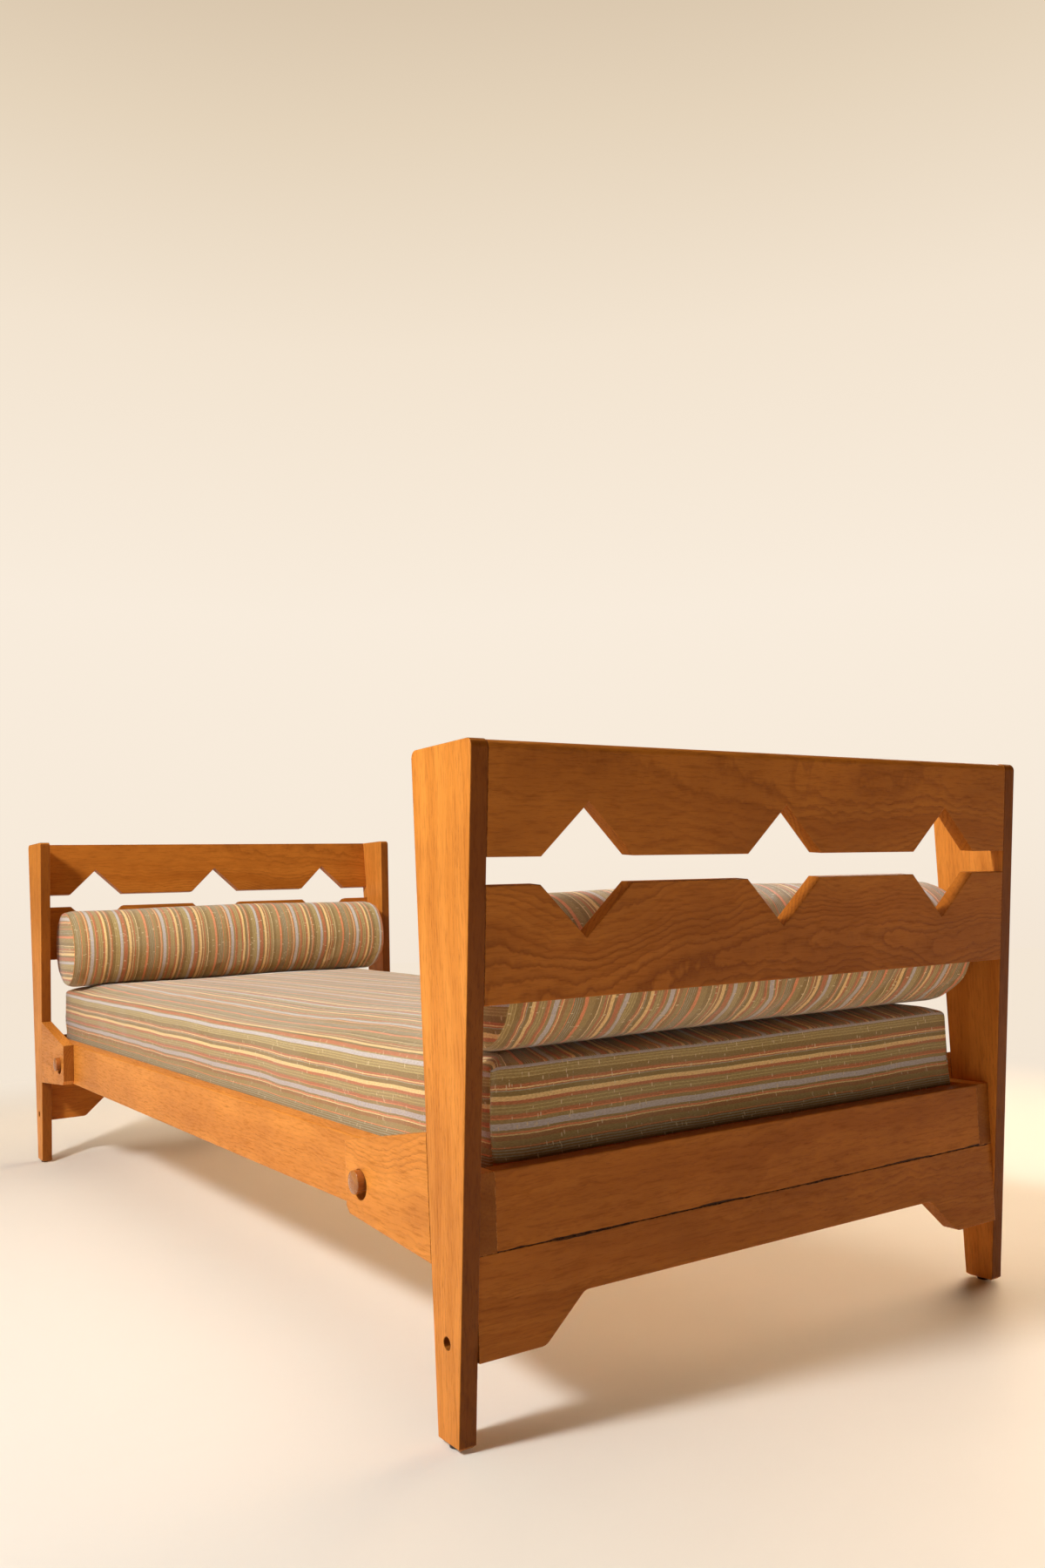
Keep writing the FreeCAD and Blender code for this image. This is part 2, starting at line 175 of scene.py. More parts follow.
def wood(name, centre, along, across, tone, seed, pith=(0.02, -0.11), figure=1.0, gloss=0.0,
         painted_edge_shade=0.0, crack_at=None):
    """Oak cut from a log. along is the grain's direction and across the board's width.

    The year rings are circles round a pith line beside the board, so faces, edges and end
    grain agree. pith is where that line passes, across and through the board's thickness.
    """
    g = Graph(name)
    along = Vector(along).normalized()
    across = Vector(across).normalized()
    through = along.cross(across).normalized()
    place = g.node("ShaderNodeTexCoord").outputs["Object"]
    local = g.node("ShaderNodeVectorMath", operation="SUBTRACT")
    g.feed(local.inputs[0], place)
    local.inputs[1].default_value = centre
    length = g.dot(local.outputs[0], along)
    width = g.dot(local.outputs[0], across)
    depth = g.dot(local.outputs[0], through)

    # The pith wanders, which draws the arched figure on flat-sawn faces.
    stretched = g.vector(g.math("MULTIPLY_ADD", length, 0.75, seed * 3.1), width, depth)
    wander = g.math("SUBTRACT", g.noise(stretched, 3.6, 2.0, 0.5), 0.5)
    ripple = g.math("SUBTRACT", g.noise(g.vector(g.math("MULTIPLY_ADD", length, 2.2, seed), width, depth),
                                        14.0, 3.0, 0.6), 0.5)
    off_width = g.math("SUBTRACT", g.math("SUBTRACT", width, pith[0]),
                       g.math("MULTIPLY", wander, PITH_WANDER * figure))
    off_depth = g.math("SUBTRACT", g.math("SUBTRACT", depth, pith[1]),
                       g.math("MULTIPLY", length, PITH_SLOPE * figure))
    radius = g.math("SQRT", g.math("ADD", g.math("MULTIPLY", off_width, off_width),
                                   g.math("MULTIPLY", off_depth, off_depth)))
    radius = g.math("ADD", radius, g.math("MULTIPLY", ripple, RING_RIPPLE))
    years = g.math("DIVIDE", radius, RING_WIDTH)
    early = g.ramp(g.math("FRACT", years), [(0.0, 1.0), (0.16, 0.62), (0.42, 0.12), (0.85, 0.0), (1.0, 1.0)])
    # Some years are strong and others faint.
    strong = g.smooth(g.noise(g.vector(g.math("MULTIPLY", length, 1.2), g.math("MULTIPLY", years, 0.21), seed),
                              1.0, 2.0), 0.36, 0.66)
    early = g.math("MULTIPLY", early, g.math("MULTIPLY_ADD", strong, 0.85, 0.15))
    band = g.noise(g.vector(g.math("MULTIPLY", length, 1.4), g.math("MULTIPLY", years, 0.33), seed), 1.0, 3.0)

    # Open pores: dark dashes that follow the grain, thickest in each year's early wood.

    def along_grain(spacing):
        return g.vector(g.math("MULTIPLY_ADD", length, spacing[0], seed),
                        g.math("MULTIPLY", width, spacing[1]), g.math("MULTIPLY", depth, spacing[1]))

    dash = g.noise(along_grain(PORES), 1.0, 2.0, 0.6)
    fleck = g.noise(along_grain(STREAKS), 1.0, 3.0, 0.62)
    pores = g.math("MULTIPLY", g.smooth(dash, 0.54, 0.68), g.math("MULTIPLY_ADD", early, 0.70, 0.30))
    streaks = g.smooth(fleck, 0.47, 0.70)

    colour = g.mix(g.smooth(band, 0.28, 0.72), tone["mid"], tone["light"])
    colour = g.mix(g.math("MULTIPLY", early, 0.46 * figure), colour, tone["dark"])
    colour = g.mix(g.math("MULTIPLY", streaks, 0.34), colour, tone["dark"])
    colour = g.mix(g.math("MULTIPLY", pores, 0.60), colour, tone["dark"])
    patina = g.noise(g.vector(g.math("MULTIPLY_ADD", length, 0.7, seed * 1.7), width, depth), 7.0, 4.0, 0.6)
    colour = g.mix(g.smooth(patina, 0.28, 0.66), g.mix(0.34, colour, tone["dark"]), colour)

    # Painted shade: a board's long edges, its narrow faces across its width, are darkened as if turned away
    # from the light.
    true_normal = g.node("ShaderNodeNewGeometry").outputs["Normal"]
    if painted_edge_shade:
        edge_shade_mask = g.smooth(g.math("ABSOLUTE", g.dot(true_normal, across)), 0.55, 0.85)
        colour = g.mix(g.math("MULTIPLY", edge_shade_mask, painted_edge_shade), colour, EDGE_PAINTED_SHADE, "MULTIPLY")
    # End grain drinks more of the finish, so it is darker, and greyer on the turned pegs.
    end_on = g.smooth(g.math("ABSOLUTE", g.dot(true_normal, along)), 0.70, 0.92)
    end_tint = TURNED_END_TINT if gloss else END_TINT
    colour = g.mix(end_on, colour, g.mix(1.0, colour, end_tint, "MULTIPLY"))
    # A joint that has opened: a dark line of uneven width at one height.
    if crack_at is not None:
        height_off = g.math("ABSOLUTE", g.math("SUBTRACT", g.dot(place, Z_AXIS), crack_at))
        opening = g.noise(g.vector(g.math("MULTIPLY", g.dot(place, Y_AXIS), 9.0), 0.0, seed), 1.0, 4.0, 0.65)
        opening = g.math("MULTIPLY", g.smooth(opening, 0.44, 0.70), CRACK_MOST)
        open_here = g.math("LESS_THAN", height_off, g.math("ADD", opening, CRACK_LEAST))
        colour = g.mix(g.math("MULTIPLY", open_here, 0.92), colour, CRACK_COLOUR)

    # Handling wears the arrises: paler wood with dark nicks.
    bevel = g.node("ShaderNodeBevel", samples=4)
    bevel.inputs["Radius"].default_value = EDGE_REACH
    facing = g.node("ShaderNodeVectorMath", operation="DOT_PRODUCT")
    g.feed(facing.inputs[0], bevel.outputs[0])
    g.feed(facing.inputs[1], true_normal)
    arris = g.smooth(g.math("SUBTRACT", 1.0, facing.outputs["Value"]), 0.02, 0.25)
    nick = g.noise(place, 160.0, 3.0, 0.65)
    colour = g.mix(g.math("MULTIPLY", arris, g.smooth(nick, 0.42, 0.60)), colour,
                   tuple(min(1.0, value * 1.12 + 0.02) for value in tone["light"]))
    colour = g.mix(g.math("MULTIPLY", arris, g.math("SUBTRACT", 1.0, g.smooth(nick, 0.34, 0.42))),
                   colour, tone["dark"])

    height = g.math("SUBTRACT", g.math("MULTIPLY", patina, 0.6),
                    g.math("ADD", g.math("MULTIPLY", pores, 0.7), g.math("MULTIPLY", streaks, 0.25)))
    normal = g.bump(height, 0.0005, 0.5, bevel.outputs[0])
    rough = g.math("ADD", 0.40 - gloss, g.math("MULTIPLY", g.math("ADD", pores, streaks), 0.14))
    return g.shade(colour, rough, normal, Coat_Weight=0.03 + gloss, Coat_Roughness=0.30 - gloss / 2,
                   Specular_IOR_Level=0.11 + gloss)


def paint(node, material):
    """Give a CAD node's object one material."""
    slots = nodes[node].data.materials
    slots.clear()
    slots.append(material)


def middle(node):
    low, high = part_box(node)
    return (Vector(low) + Vector(high)) / 2


X_AXIS = (1.0, 0.0, 0.0)
Y_AXIS = (0.0, 1.0, 0.0)
Z_AXIS = (0.0, 0.0, 1.0)
POST_LEAN = 0.036         # X for each Z, half-way between the leans of a post's two edges
SEED_STEP = 1.37          # moves the noise on, so that no two boards look alike
DOWEL_SEED = 50.0


def lean_of(side):
    """The direction of a post's grain, which leans outwards. side is -1 or 1."""
    return (side * POST_LEAN, 0.0, 1.0)


def paint_wood():
    seed = 1.0
    for side, x_side in (("left", -1), ("right", 1)):
        for face in ("front", "back"):
            corner = side + "_" + face
            seed += SEED_STEP
            # Each post's narrow faces are darkened as painted shade.
            paint(corner + "_post", wood(corner + "_post_oak", middle(corner + "_post"), lean_of(x_side),
                                         X_AXIS, HONEY, seed, pith=(0.13, 0.03), figure=0.35,
                                         painted_edge_shade=0.9))
            seed += SEED_STEP
            paint(corner + "_ear", wood(corner + "_ear_oak", middle(corner + "_ear"), X_AXIS, Z_AXIS,
                                        HONEY, seed, pith=(-0.03, -0.07), figure=0.9))
            seed += SEED_STEP
            paint(corner + "_peg", wood(corner + "_peg_oak", middle(corner + "_peg"), Y_AXIS, Z_AXIS,
                                        TURNED, seed, pith=(0.03, 0.02), figure=0.5, gloss=0.18))
        for board, tone, pith, figure in (("upper_fret", WARM, (0.05, -0.09), 0.9),
                                          ("lower_fret", WARM, (-0.03, -0.05), 1.3),
                                          ("apron", WARM, (0.08, -0.10), 0.6),
                                          ("end_board", WARM, (-0.06, -0.12), 0.5)):
            seed += SEED_STEP
            name = side + "_" + board
            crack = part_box("right_end_board")[0][2] if board in ("apron", "end_board") else None
            paint(name, wood(name + "_oak", middle(name), Y_AXIS, Z_AXIS, tone, seed, pith, figure,
                             crack_at=crack))
    for face in ("front", "back"):
        seed += SEED_STEP
        paint(face + "_rail", wood(face + "_rail_oak", middle(face + "_rail"), X_AXIS, Z_AXIS,
                                   HONEY, seed, pith=(0.10, -0.05), figure=0.5))
        paint(face + "_slat_ledger", wood(face + "_ledger_wood", middle(face + "_slat_ledger"), X_AXIS,
                                          Z_AXIS, PALE, seed, figure=0.5))
    for name in nodes:
        if name.startswith("slat_") and name != "slat_screws":
            seed += SEED_STEP
            paint(name, wood(name + "_wood", middle(name), Y_AXIS, X_AXIS, PALE, seed, figure=0.8))
    for name in ("ear_dowels", "base_corner_dowels"):
        paint(name, wood(name + "_wood", middle(name), X_AXIS, Z_AXIS, PALE, DOWEL_SEED, figure=0.3))


# ---------------------------------------------------------------- metal


def metal(name, colour, roughness):
    g = Graph(name)
    place = g.node("ShaderNodeTexCoord").outputs["Object"]
    scratches = g.noise(place, 900.0, 3.0, 0.7)
    tint = g.mix(g.smooth(scratches, 0.35, 0.7), tuple(value * 0.6 for value in colour), colour)
    rough = g.math("MULTIPLY_ADD", scratches, 0.25, roughness)
    return g.shade(tint, rough, g.bump(scratches, 0.0001, 0.4), Metallic=0.9)


# ---------------------------------------------------------------- striped cloth

# Yarn colours, and one repeat of the stripes: widths in millimetres. The repeat starts and
# ends in the middle of a lavender stripe.
YARNS = {
    "olive": (0.454, 0.315, 0.127),
    "moss": (0.351, 0.229, 0.084),
    "brown": (0.464, 0.232, 0.092),
    "rust": (0.605, 0.214, 0.095),
    "coral": (0.886, 0.335, 0.157),
    "gold": (0.970, 0.691, 0.313),
    "yellow": (0.970, 0.734, 0.356),
    "cream": (0.970, 0.778, 0.454),
    "lime": (0.605, 0.470, 0.200),
    "grey": (0.486, 0.432, 0.292),
    "lavender": (0.659, 0.594, 0.583),
}
STRIPES = [
    ("lavender", 3.0), ("olive", 1.8), ("lime", 1.1), ("olive", 2.3), ("lime", 1.1), ("olive", 2.3),
    ("lime", 1.1), ("moss", 7.0), ("rust", 3.3), ("yellow", 1.5), ("rust", 1.4), ("grey", 1.3),
    ("moss", 4.8), ("gold", 4.8), ("rust", 4.2), ("olive", 2.6), ("lime", 1.1), ("olive", 2.4),
    ("lime", 1.1), ("olive", 3.6), ("rust", 3.6), ("coral", 1.6), ("olive", 4.4), ("lavender", 7.0),
    ("olive", 2.5), ("coral", 1.4), ("rust", 1.0), ("yellow", 1.5), ("brown", 5.0), ("olive", 6.5),
    ("coral", 1.4), ("moss", 1.6), ("grey", 1.2), ("moss", 1.8), ("grey", 1.2), ("moss", 1.8),
    ("grey", 1.2), ("moss", 1.8), ("grey", 1.2), ("moss", 3.0), ("coral", 5.2), ("olive", 9.0),
    ("moss", 7.2), ("cream", 1.5), ("olive", 5.8), ("rust", 2.6), ("olive", 1.6), ("yellow", 1.5),
    ("brown", 3.4), ("gold", 5.8), ("moss", 4.0), ("rust", 7.2), ("olive", 2.0), ("lavender", 3.0),
]
REPEAT = sum(width for _, width in STRIPES) / 1000.0

STRIPE_WAVER = 0.0012     # how far a stripe's edge strays slowly
STRIPE_FRAY = 0.0010      # and from thread to thread
TWILL_PITCH = 0.0021      # from one diagonal rib to the next
TWILL_SLANT = 1.4
THREAD_PITCH = 0.0011
HEATHER_TINT = (0.62, 0.54, 0.42)
RIB_TINT = (1.45, 1.45, 1.40)
SLUB_COLOUR = (0.90, 0.74, 0.44)
FADED_COLOUR = (0.55, 0.47, 0.33)


def stripe_colour(g, position):
    """The stripe at a position in the repeat, from 0 to 1. A ramp holds 32 stops, so it takes two."""
    edge = 0.0
    stops = []
    for yarn, width in STRIPES:
        stops.append((edge, YARNS[yarn]))
        edge += width / 1000.0 / REPEAT
    half = len(stops) // 2
    split = stops[half][0]
    first = g.ramp(position, stops[:half], "CONSTANT")
    second = g.ramp(position, stops[half:], "CONSTANT")
    return g.mix(g.math("GREATER_THAN", position, split), first, second)


def striped_cloth():
    """Twill cloth. Its UV map is in metres: U along the stripes and V across them."""
    g = Graph("striped_cloth")
    cloth = g.node("ShaderNodeUVMap", uv_map="cloth").outputs[0]
    u = g.dot(cloth, X_AXIS)
    v = g.dot(cloth, Y_AXIS)
    slow = g.math("SUBTRACT", g.noise(g.vector(g.math("MULTIPLY", u, 6.0), g.math("MULTIPLY", v, 20.0)),
                                      1.0, 2.0), 0.5)
    fray = g.math("SUBTRACT", g.noise(g.vector(g.math("MULTIPLY", u, 500.0), g.math("MULTIPLY", v, 60.0)),
                                      1.0, 1.0), 0.5)
    wavering = g.math("ADD", v, g.math("ADD", g.math("MULTIPLY", slow, STRIPE_WAVER),
                                       g.math("MULTIPLY", fray, STRIPE_FRAY)))
    colour = stripe_colour(g, g.math("FRACT", g.math("DIVIDE", wavering, REPEAT)))

    # Heathered yarn: brown and green ends mixed in the ground, thread by thread.
    heather = g.noise(g.vector(g.math("MULTIPLY", u, 260.0), g.math("MULTIPLY", v, 900.0)), 1.0, 2.0, 0.6)
    colour = g.mix(g.math("MULTIPLY", g.smooth(heather, 0.40, 0.62), 0.55), colour,
                   HEATHER_TINT, "MULTIPLY")
    # Twill: diagonal ribs, and the gaps between threads.
    slanted = g.math("ADD", u, g.math("MULTIPLY", v, TWILL_SLANT))
    rib = g.math("SINE", g.math("MULTIPLY", slanted, 2 * math.pi / TWILL_PITCH))
    thread = g.math("SINE", g.math("MULTIPLY", v, 2 * math.pi / THREAD_PITCH))
    weave = g.math("ADD", g.math("MULTIPLY", rib, 0.5), g.math("MULTIPLY", thread, 0.35))
    colour = g.mix(g.math("MULTIPLY_ADD", weave, 0.22, 0.22, clamp=True), colour,
                   g.mix(1.0, colour, RIB_TINT, "MULTIPLY"))
    # Slubs: short cream flecks lying across the stripes.
    cells = g.node("ShaderNodeTexVoronoi", feature="F1")
    g.feed(cells.inputs["Vector"], g.vector(g.math("MULTIPLY", u, 230.0), g.math("MULTIPLY", v, 80.0)))
    cells.inputs["Scale"].default_value = 1.0
    slub = g.math("MULTIPLY", g.math("LESS_THAN", cells.outputs["Distance"], 0.21),
                  g.smooth(g.noise(g.vector(g.math("MULTIPLY", u, 120.0), g.math("MULTIPLY", v, 70.0)),
                                   1.0, 1.0), 0.48, 0.56))
    colour = g.mix(g.math("MULTIPLY", slub, 0.75), colour, SLUB_COLOUR)
    # Wear: slow changes in strength of colour over the cloth.
    faded = g.noise(g.vector(g.math("MULTIPLY", u, 5.0), g.math("MULTIPLY", v, 5.0)), 1.0, 4.0, 0.6)
    colour = g.mix(g.math("MULTIPLY", g.smooth(faded, 0.35, 0.75), 0.16), colour, FADED_COLOUR)

    height = g.math("ADD", g.math("MULTIPLY", weave, 0.5), g.math("ADD", g.math("MULTIPLY", slub, 0.9),
                                                                  g.math("MULTIPLY", heather, 0.7)))
    return g.shade(colour, 0.92, g.bump(height, 0.0006, 0.7), Sheen_Weight=0.55, Sheen_Roughness=0.40,
                   Specular_IOR_Level=0.25)


# ---------------------------------------------------------------- soft pieces


def spread(low, high, step, edge_steps=(0.0, 0.004, 0.009, 0.016, 0.026)):
    """Places for grid lines: even in the middle, and close together near both ends."""
    inner_low = low + edge_steps[-1]
    inner_high = high - edge_steps[-1]
    count = max(2, round((inner_high - inner_low) / step))
    lines = [low + offset for offset in edge_steps[:-1]]
    lines += [inner_low + (inner_high - inner_low) * index / count for index in range(count + 1)]
    lines += [high - offset for offset in reversed(edge_steps[:-1])]
    return lines


def cloth_mesh(name, points, faces, corner_uvs):
    """A mesh with smooth faces and the cloth's UV map, in metres."""
    mesh = bpy.data.meshes.new(name)
    mesh.from_pydata(points, [], faces)
    layer = mesh.uv_layers.new(name="cloth")
    flat = [value for face in corner_uvs for corner in face for value in corner]
    layer.data.foreach_set("uv", flat)
    mesh.polygons.foreach_set("use_smooth", [True] * len(mesh.polygons))
    obj = bpy.data.objects.new(name, mesh)
    scene.collection.objects.link(obj)
    return obj


def box_cloth(name, low, high, step, rounding, side_of):
    """A closed box of grid faces with rounded edges. side_of gives a corner's UV on each side."""
    lines = [spread(low[axis], high[axis], step[axis]) for axis in range(3)]
    index_of = {}
    points = []

    def vertex(key):
        if key not in index_of:
            raw = Vector([lines[axis][key[axis]] for axis in range(3)])
            core = Vector([min(max(raw[axis], low[axis] + rounding), high[axis] - rounding)
                           for axis in range(3)])
            offset = raw - core
            index_of[key] = len(points)
            points.append(core + offset.normalized() * rounding if offset.length > 1e-9 else raw)
        return index_of[key]

    faces = []
    uvs = []
    for axis in range(3):
        first, second = (axis + 1) % 3, (axis + 2) % 3
        for end, last in ((0, 0), (1, len(lines[axis]) - 1)):
            for i in range(len(lines[first]) - 1):
                for j in range(len(lines[second]) - 1):
                    keys = []
                    for di, dj in ((0, 0), (1, 0), (1, 1), (0, 1)):
                        key = [0, 0, 0]
                        key[axis], key[first], key[second] = last, i + di, j + dj
                        keys.append(tuple(key))
                    if end == 0:
                        keys.reverse()
                    faces.append([vertex(key) for key in keys])
                    uvs.append([side_of(axis, end, [lines[a][key[a]] for a in range(3)]) for key in keys])
    return cloth_mesh(name, points, faces, uvs)


PUFF_PRESSURE = 3.0
PUFF_FRAMES = 20


def puff(obj, held_below, cap, shrink):
    """Fill a closed cloth form with air. No point moves further than cap, and the points
    below a height stay where they are.
    """
    mesh = obj.data
    rest = [vertex.co.copy() for vertex in mesh.vertices]
    group = obj.vertex_groups.new(name="held")
    for index, vertex in enumerate(mesh.vertices):
        if vertex.co.z < held_below:
            group.add([index], 1.0, "REPLACE")
    modifier = obj.modifiers.new("Cloth", "CLOTH")
    settings = modifier.settings
    settings.quality = 6
    settings.mass = 0.3
    settings.tension_stiffness = 18.0
    settings.compression_stiffness = 12.0
    settings.shear_stiffness = 6.0
    settings.bending_stiffness = 0.4
    settings.use_pressure = True
    settings.uniform_pressure_force = PUFF_PRESSURE
    settings.shrink_min = shrink
    settings.vertex_group_mass = "held"
    settings.effector_weights.gravity = 0.0
    modifier.collision_settings.use_collision = False
    modifier.point_cache.frame_start = 1
    modifier.point_cache.frame_end = PUFF_FRAMES
    for step in range(1, PUFF_FRAMES + 1):
        scene.frame_set(step)
    settled = obj.evaluated_get(bpy.context.evaluated_depsgraph_get())
    moved = [vertex.co.copy() for vertex in settled.data.vertices]
    obj.modifiers.remove(modifier)
    for vertex, start, end in zip(mesh.vertices, rest, moved):
        shift = end - start
        if shift.length > cap:
            shift = shift.normalized() * cap
        vertex.co = start + shift
    obj.vertex_groups.clear()
    scene.frame_set(1)


def smooth_step(value):
    value = min(max(value, 0.0), 1.0)
    return value * value * (3 - 2 * value)


SEAM_DEPTH = 0.0022
SEAM_REACH = 0.0035
SEAM_INSET = 0.004        # from the form's edge in to the sewn line


def seam(distance):
    """How far a sewn line pulls the cloth in, at a distance from it."""
    return SEAM_DEPTH * math.exp(-(distance / SEAM_REACH) ** 2)


def refine(obj):
    """One level of subdivision, applied."""
    modifier = obj.modifiers.new("Subdivision", "SUBSURF")
    modifier.levels = 1
    modifier.render_levels = 1
    modifier.boundary_smooth = "PRESERVE_CORNERS"
    modifier.uv_smooth = "NONE"
    evaluated = obj.evaluated_get(bpy.context.evaluated_depsgraph_get())
    finer = bpy.data.meshes.new_from_object(evaluated)
    obj.modifiers.remove(modifier)
    obj.data = finer


SIDE_TOP_V = -0.009         # where in the stripes the long sides' top edge falls
END_TOP_V = -0.0015         # and the end faces'
MATTRESS_INSET = 0.001      # the form starts this much inside its CAD solid
MATTRESS_TOP_INSET = 0.006
MATTRESS_STEP = (0.017, 0.017, 0.012)
MATTRESS_ROUNDING = 0.008
MATTRESS_PUFF = 0.009
CROWN = 0.006
CROWN_REACH = 0.20          # from the edges in to the crown's full height
HOLLOW = 0.0035
SIDE_REACH = 0.05           # how far in from a side its waves reach
RAIL_BULGE = 0.007
FAR_SWELL = 0.012
RIM_UP = 0.97               # the top seam's height, as a share of the mattress


def shape_mattress(point, low, high, depth, frame_top):
    """Move one point of the filled form: crown, sags, bulges and seams."""
    x, y, z = point
    up = (z - low.z) / (high.z - low.z)
    edge_y = min(y - low.y, high.y - y)
    edge_x = min(x - low.x, high.x - x)
    # The top is a little crowned, with shallow hollows where people sit.
    top = smooth_step((up - 0.6) / 0.4)
    crown = CROWN * smooth_step(min(edge_x, edge_y) / CROWN_REACH)
    hollow = HOLLOW * noise.noise(Vector((x * 2.6, y * 3.4, 4.0)))
    point.z += top * (crown + hollow)
    # The sides sag in slow waves between the corners.
    near_side = 1.0 - smooth_step(edge_y / SIDE_REACH)
    near_end = 1.0 - smooth_step(edge_x / SIDE_REACH)
    wave = noise.noise(Vector((x * 4.2, 0.0 if y < 0 else 9.0, 1.3)))
    fine = noise.noise(Vector((x * 13.0, z * 9.0, 7.7 if y < 0 else 3.1)))
    middle_up = smooth_step(up / 0.35) * (1.0 - 0.5 * smooth_step((up - 0.7) / 0.3))
    side_share = near_side * middle_up
    point.z += side_share * (0.0055 * wave + 0.0018 * fine)
    point.y += (1.0 if y > 0 else -1.0) * side_share * (0.0028 * fine + 0.003 * wave)
    # So do the two ends.
    end_wave = noise.noise(Vector((y * 4.0, 21.0 if x < 0 else 5.0, 2.0)))
    end_fine = noise.noise(Vector((y * 12.0, z * 10.0, 12.0)))
    end_share = near_end * middle_up * (1.0 - near_side)
    point.z += end_share * (0.0040 * end_wave + 0.0010 * end_fine)
    point.x += (1.0 if x > 0 else -1.0) * end_share * 0.0025 * end_fine
    # Above the rails the stuffing pushes the sides out.
    point.y += math.copysign(RAIL_BULGE, y) * near_side * smooth_step((z - frame_top) / 0.05)
    # The far end swells over its end board.
    if x < 0:
        point.x -= near_end * FAR_SWELL * smooth_step((z - frame_top) / 0.03)
    # Sewn edges: up the four corners and round the top.
    if up > 0.05:
        corner = math.hypot(edge_x - SEAM_INSET, edge_y - SEAM_INSET)
        point.x -= math.copysign(seam(corner), x)
        point.y -= math.copysign(seam(corner), y)
    rim = abs(up - RIM_UP) * depth + max(0.0, min(edge_x, edge_y) - 0.006)
    point.z -= seam(rim)
    return point


def mattress():
    box_low, box_high = (Vector(corner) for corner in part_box("mattress"))
    low = box_low + Vector((MATTRESS_INSET, MATTRESS_INSET, MATTRESS_INSET))
    high = box_high - Vector((MATTRESS_INSET, MATTRESS_INSET, MATTRESS_TOP_INSET))

    def side_of(axis, end, place):
        x, y, z = place
        if axis == 2:
            return x, SIDE_TOP_V - (y - low.y) if end == 1 else -y
        if axis == 1:
            return x, SIDE_TOP_V + (high.z - z)
        return y, END_TOP_V + (high.z - z)

    obj = box_cloth("mattress_cover", low, high, MATTRESS_STEP, MATTRESS_ROUNDING, side_of)
    puff(obj, low.z + 0.03, MATTRESS_PUFF, shrink=-0.015)
    frame_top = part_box("left_end_board")[1][2]
    for vertex in obj.data.vertices:
        vertex.co = shape_mattress(vertex.co.copy(), low, high, box_high.z - box_low.z, frame_top)
    refine(obj)
    obj.data.materials.append(cloth)
    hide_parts("mattress")
    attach(obj, "mattress")


BOLSTER_INSET = 0.003
BOLSTER_PUFF = 0.006
BOLSTER_AROUND = 80         # points round the tube
BOLSTER_STEP = 0.011
BOLSTER_ENDS = (0.0, 0.003, 0.007, 0.013, 0.021)
CAP_RINGS = (0.96, 0.90, 0.82, 0.72, 0.60, 0.45, 0.30, 0.15)   # shares of the radius
CAP_SHARE = 0.965           # the cap's edge, as a share of the tube's radius
CAP_DOME = 0.004
CAP_STRIPE_SHIFT = 0.0484   # where in the stripes a cap's top falls
LEFT_BOLSTER_V = 0.1034     # where in the stripes each bolster's front end falls
RIGHT_BOLSTER_V = 0.0050


def bolster_form(name, centre, radius, half, stripe_at):
    """A closed tube along Y with two slightly domed caps."""
    rows = spread(-half, half, BOLSTER_STEP, BOLSTER_ENDS)
    points = []
    faces = []
    uvs = []

    def ring(share, y):
        for index in range(BOLSTER_AROUND):
            angle = 2 * math.pi * index / BOLSTER_AROUND
            points.append(Vector((centre.x + math.cos(angle) * radius * share, centre.y + y,
                                  centre.z + math.sin(angle) * radius * share)))

    # The tube, its stripes running round it.
    for y in rows:
        edge = min(y + half, half - y)
        ring(1.0 - (1.0 - CAP_SHARE) * (1.0 - smooth_step(edge / 0.010)), y)
    for row in range(len(rows) - 1):
        for index in range(BOLSTER_AROUND):
            after = (index + 1) % BOLSTER_AROUND
            a, b = row * BOLSTER_AROUND + index, row * BOLSTER_AROUND + after
            faces.append([a, a + BOLSTER_AROUND, b + BOLSTER_AROUND, b])
            arc = [2 * math.pi * radius * step / BOLSTER_AROUND
                   for step in (index, index, index + 1, index + 1)]
            along = [rows[row], rows[row + 1], rows[row + 1], rows[row]]
            uvs.append([(u, stripe_at(y + half)) for u, y in zip(arc, along)])

    # The two end caps, with level stripes.
    for end in (-1, 1):
        rim = 0 if end < 0 else (len(rows) - 1) * BOLSTER_AROUND
        outline = [rim + index for index in range(BOLSTER_AROUND)]
        for share in CAP_RINGS:
            inner = len(points)
            ring(share * CAP_SHARE, end * half + end * CAP_DOME * (1.0 - share ** 2))
            inner_ring = [inner + index for index in range(BOLSTER_AROUND)]
            for index in range(BOLSTER_AROUND):
                after = (index + 1) % BOLSTER_AROUND
                face = [outline[index], outline[after], inner_ring[after], inner_ring[index]]
                faces.append(face if end < 0 else face[::-1])
            outline = inner_ring
        hub = len(points)
        points.append(Vector((centre.x, centre.y + end * half + end * CAP_DOME, centre.z)))
        for index in range(BOLSTER_AROUND):
            face = [outline[index], outline[(index + 1) % BOLSTER_AROUND], hub]
            faces.append(face if end < 0 else face[::-1])
    for face in faces[len(uvs):]:
        uvs.append([(points[i].x - centre.x, centre.z + radius - points[i].z + CAP_STRIPE_SHIFT)
                    for i in face])
    return cloth_mesh(name, points, faces, uvs)


